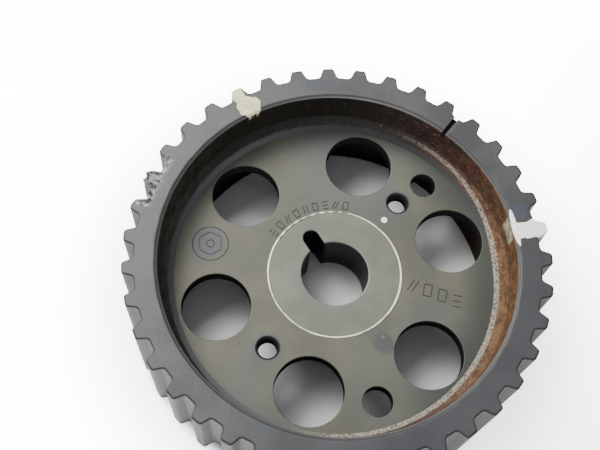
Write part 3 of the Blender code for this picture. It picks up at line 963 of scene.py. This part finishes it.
def bead_material():
    """Like the web at its foot, with painted shade darker on the right, and the wall above, with a pale
    granular band that climbs towards the top: partly scale, partly a painted highlight.
    """
    m = Finish("pale_bead")
    t = m.tree
    grains = noise(t, m.place, 1700.0, 4.0, 0.7)
    above = maths(t, "SUBTRACT", m.height, WEB_FRONT / MM)
    # painted shade: the foot is darker on the right, as the web beside it
    foot = blend_colour(t, m.sector(205.0, 75.0, 45.0), tint(54, 56, 57), tint(82, 83, 85))
    ragged = maths(t, "MULTIPLY_ADD", noise(t, m.place, 260.0), 0.8, above)
    right = m.sector(-20.0, 62.0, 30.0)
    turn_up = maths(t, "MULTIPLY_ADD", right, -0.25, 0.85)
    upper = ramp(t, maths(t, "SUBTRACT", ragged, turn_up), 0.3, 0.9)
    colour = blend_colour(t, upper, foot, wall_colour(m))
    # partly painted highlight: the pale granular band's place climbs the round with the angle
    middle = ramp(t, m.angle, -5.0, 50.0, 0.34, 2.1)
    off_middle = maths(t, "ABSOLUTE", maths(t, "SUBTRACT", above, middle))
    band = times(t, ramp(t, off_middle, 0.62, 0.36), right)
    scale = blend_colour(t, ramp(t, grains, 0.40, 0.56), tint(80, 70, 60), tint(152, 146, 132))
    colour = blend_colour(t, times(t, band, 0.9), colour, scale)
    return m.finish(colour, 0.6, 0.0, grains, 0.4, 0.00012, 0.2)


def table_material():
    """White sheet that glows to the camera only, outside the pulley, and less towards the lower right; the
    glow fading in round the pulley is a painted shadow.
    """
    made = bpy.data.materials.new("pale_table")
    made.use_nodes = True
    t = made.node_tree
    shader = t.nodes["Principled BSDF"]
    shader.inputs["Base Color"].default_value = (0.80, 0.80, 0.80, 1)
    shader.inputs["Roughness"].default_value = 0.25
    place = t.nodes.new("ShaderNodeTexCoord").outputs["Object"]
    split = node(t, "ShaderNodeSeparateXYZ", Vector=place).outputs
    reach = node(t, "ShaderNodeVectorMath", {"operation": "LENGTH"})
    feed(t, reach.inputs[0], place)
    # painted shadow: the glow is cut under the pulley and fades in over the next 35 mm round it
    outside = ramp(t, reach.outputs["Value"], 0.0555, 0.090, 0.3, 1.0)
    outside = times(t, outside, ramp(t, reach.outputs["Value"], 0.0555, 0.0600))
    slant = maths(t, "ADD", times(t, split["X"], 0.78), times(t, split["Y"], -0.62))
    glow = times(t, outside, ramp(t, slant, -0.02, 0.11, 13.5, 3.2))
    seen = t.nodes.new("ShaderNodeLightPath").outputs["Is Camera Ray"]
    shader.inputs["Emission Color"].default_value = (1.0, 1.0, 0.99, 1)
    t.links.new(times(t, glow, seen), shader.inputs["Emission Strength"])
    return made


# ---------------------------------------------------------------- object, table, light, camera
def dress(piece, material, *nodes):
    piece.data.materials.clear()
    piece.data.materials.append(material)
    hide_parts(*nodes)
    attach(piece, BODY)


def table():
    """A wide flat sheet under the pulley."""
    line = np.linspace(-1.6, 1.6, 41)
    x, y = np.meshgrid(line, line, indexing="ij")
    z = np.full_like(x, RIM_BACK - 0.02 * MM)
    index = np.arange(x.size).reshape(x.shape)
    quads = np.stack([index[:-1, :-1], index[1:, :-1], index[1:, 1:], index[:-1, 1:]], axis=-1).reshape(-1, 4)
    made = plain_object("table", np.stack([x, y, z], axis=-1), quads.tolist())
    made.data.materials.append(table_material())


def area_light(name, place, target, width, depth, radiance, colour=(1, 1, 1)):
    """A flat lamp that looks equally bright from everywhere: power = pi * area * radiance."""
    lamp = bpy.data.lights.new(name, "AREA")
    lamp.shape = "RECTANGLE"
    lamp.size, lamp.size_y = width, depth
    lamp.energy = np.pi * width * depth * radiance
    lamp.color = colour
    made = bpy.data.objects.new(name, lamp)
    made.location = place
    made.rotation_euler = (Vector(target) - Vector(place)).to_track_quat("-Z", "Y").to_euler()
    bpy.context.scene.collection.objects.link(made)


def light():
    world = bpy.data.worlds.new("soft_room")
    world.use_nodes = True
    world.node_tree.nodes["Background"].inputs["Color"].default_value = (0.95, 0.97, 1.0, 1)
    world.node_tree.nodes["Background"].inputs["Strength"].default_value = 0.5
    bpy.context.scene.world = world
    area_light("key", (-0.42, 0.49, 0.76), (0, 0, 0), 0.38, 0.38, 17.0, (1.0, 0.99, 0.97))
    area_light("front_fill", (-0.2, -1.04, 0.55), (0, 0, 0), 0.8, 0.5, 6.0, (0.97, 0.98, 1.0))
    area_light("key_halo", (-0.43, 0.50, 0.77), (0, 0, 0), 0.8, 0.8, 6.5, (1.0, 0.99, 0.98))


def camera():
    """Above the near side, leaning over the pulley."""
    lens = bpy.data.cameras.new("camera")
    lens.sensor_width = 36.0
    lens.lens = 58.35
    lens.clip_start = 0.01
    made = bpy.data.objects.new("camera", lens)
    place = Vector((-0.02327, -0.09408, RIM_FRONT + 0.24411))
    target = Vector((-0.01065, 0.00851, RIM_FRONT))
    back = (place - target).normalized()
    up = back.cross(Vector((1.0, 0.0, 0.0517))).normalized()
    right = up.cross(back)
    made.matrix_world = Matrix.Translation(place) @ Matrix((right, up, back)).transposed().to_4x4()
    bpy.context.scene.collection.objects.link(made)
    bpy.context.scene.camera = made


def main():
    camera()
    light()
    table()
    dress(toothed_rim(), rim_material(), "toothed_rim")
    dress(web_disc(), web_material(), "web_disc")
    dress(hub(), hub_material(), "hub")
    dress(hub_ring(), ring_material(), "hub_joint_ring")
    dress(rim_bead(), bead_material(), "rim_joint_bead")


main()
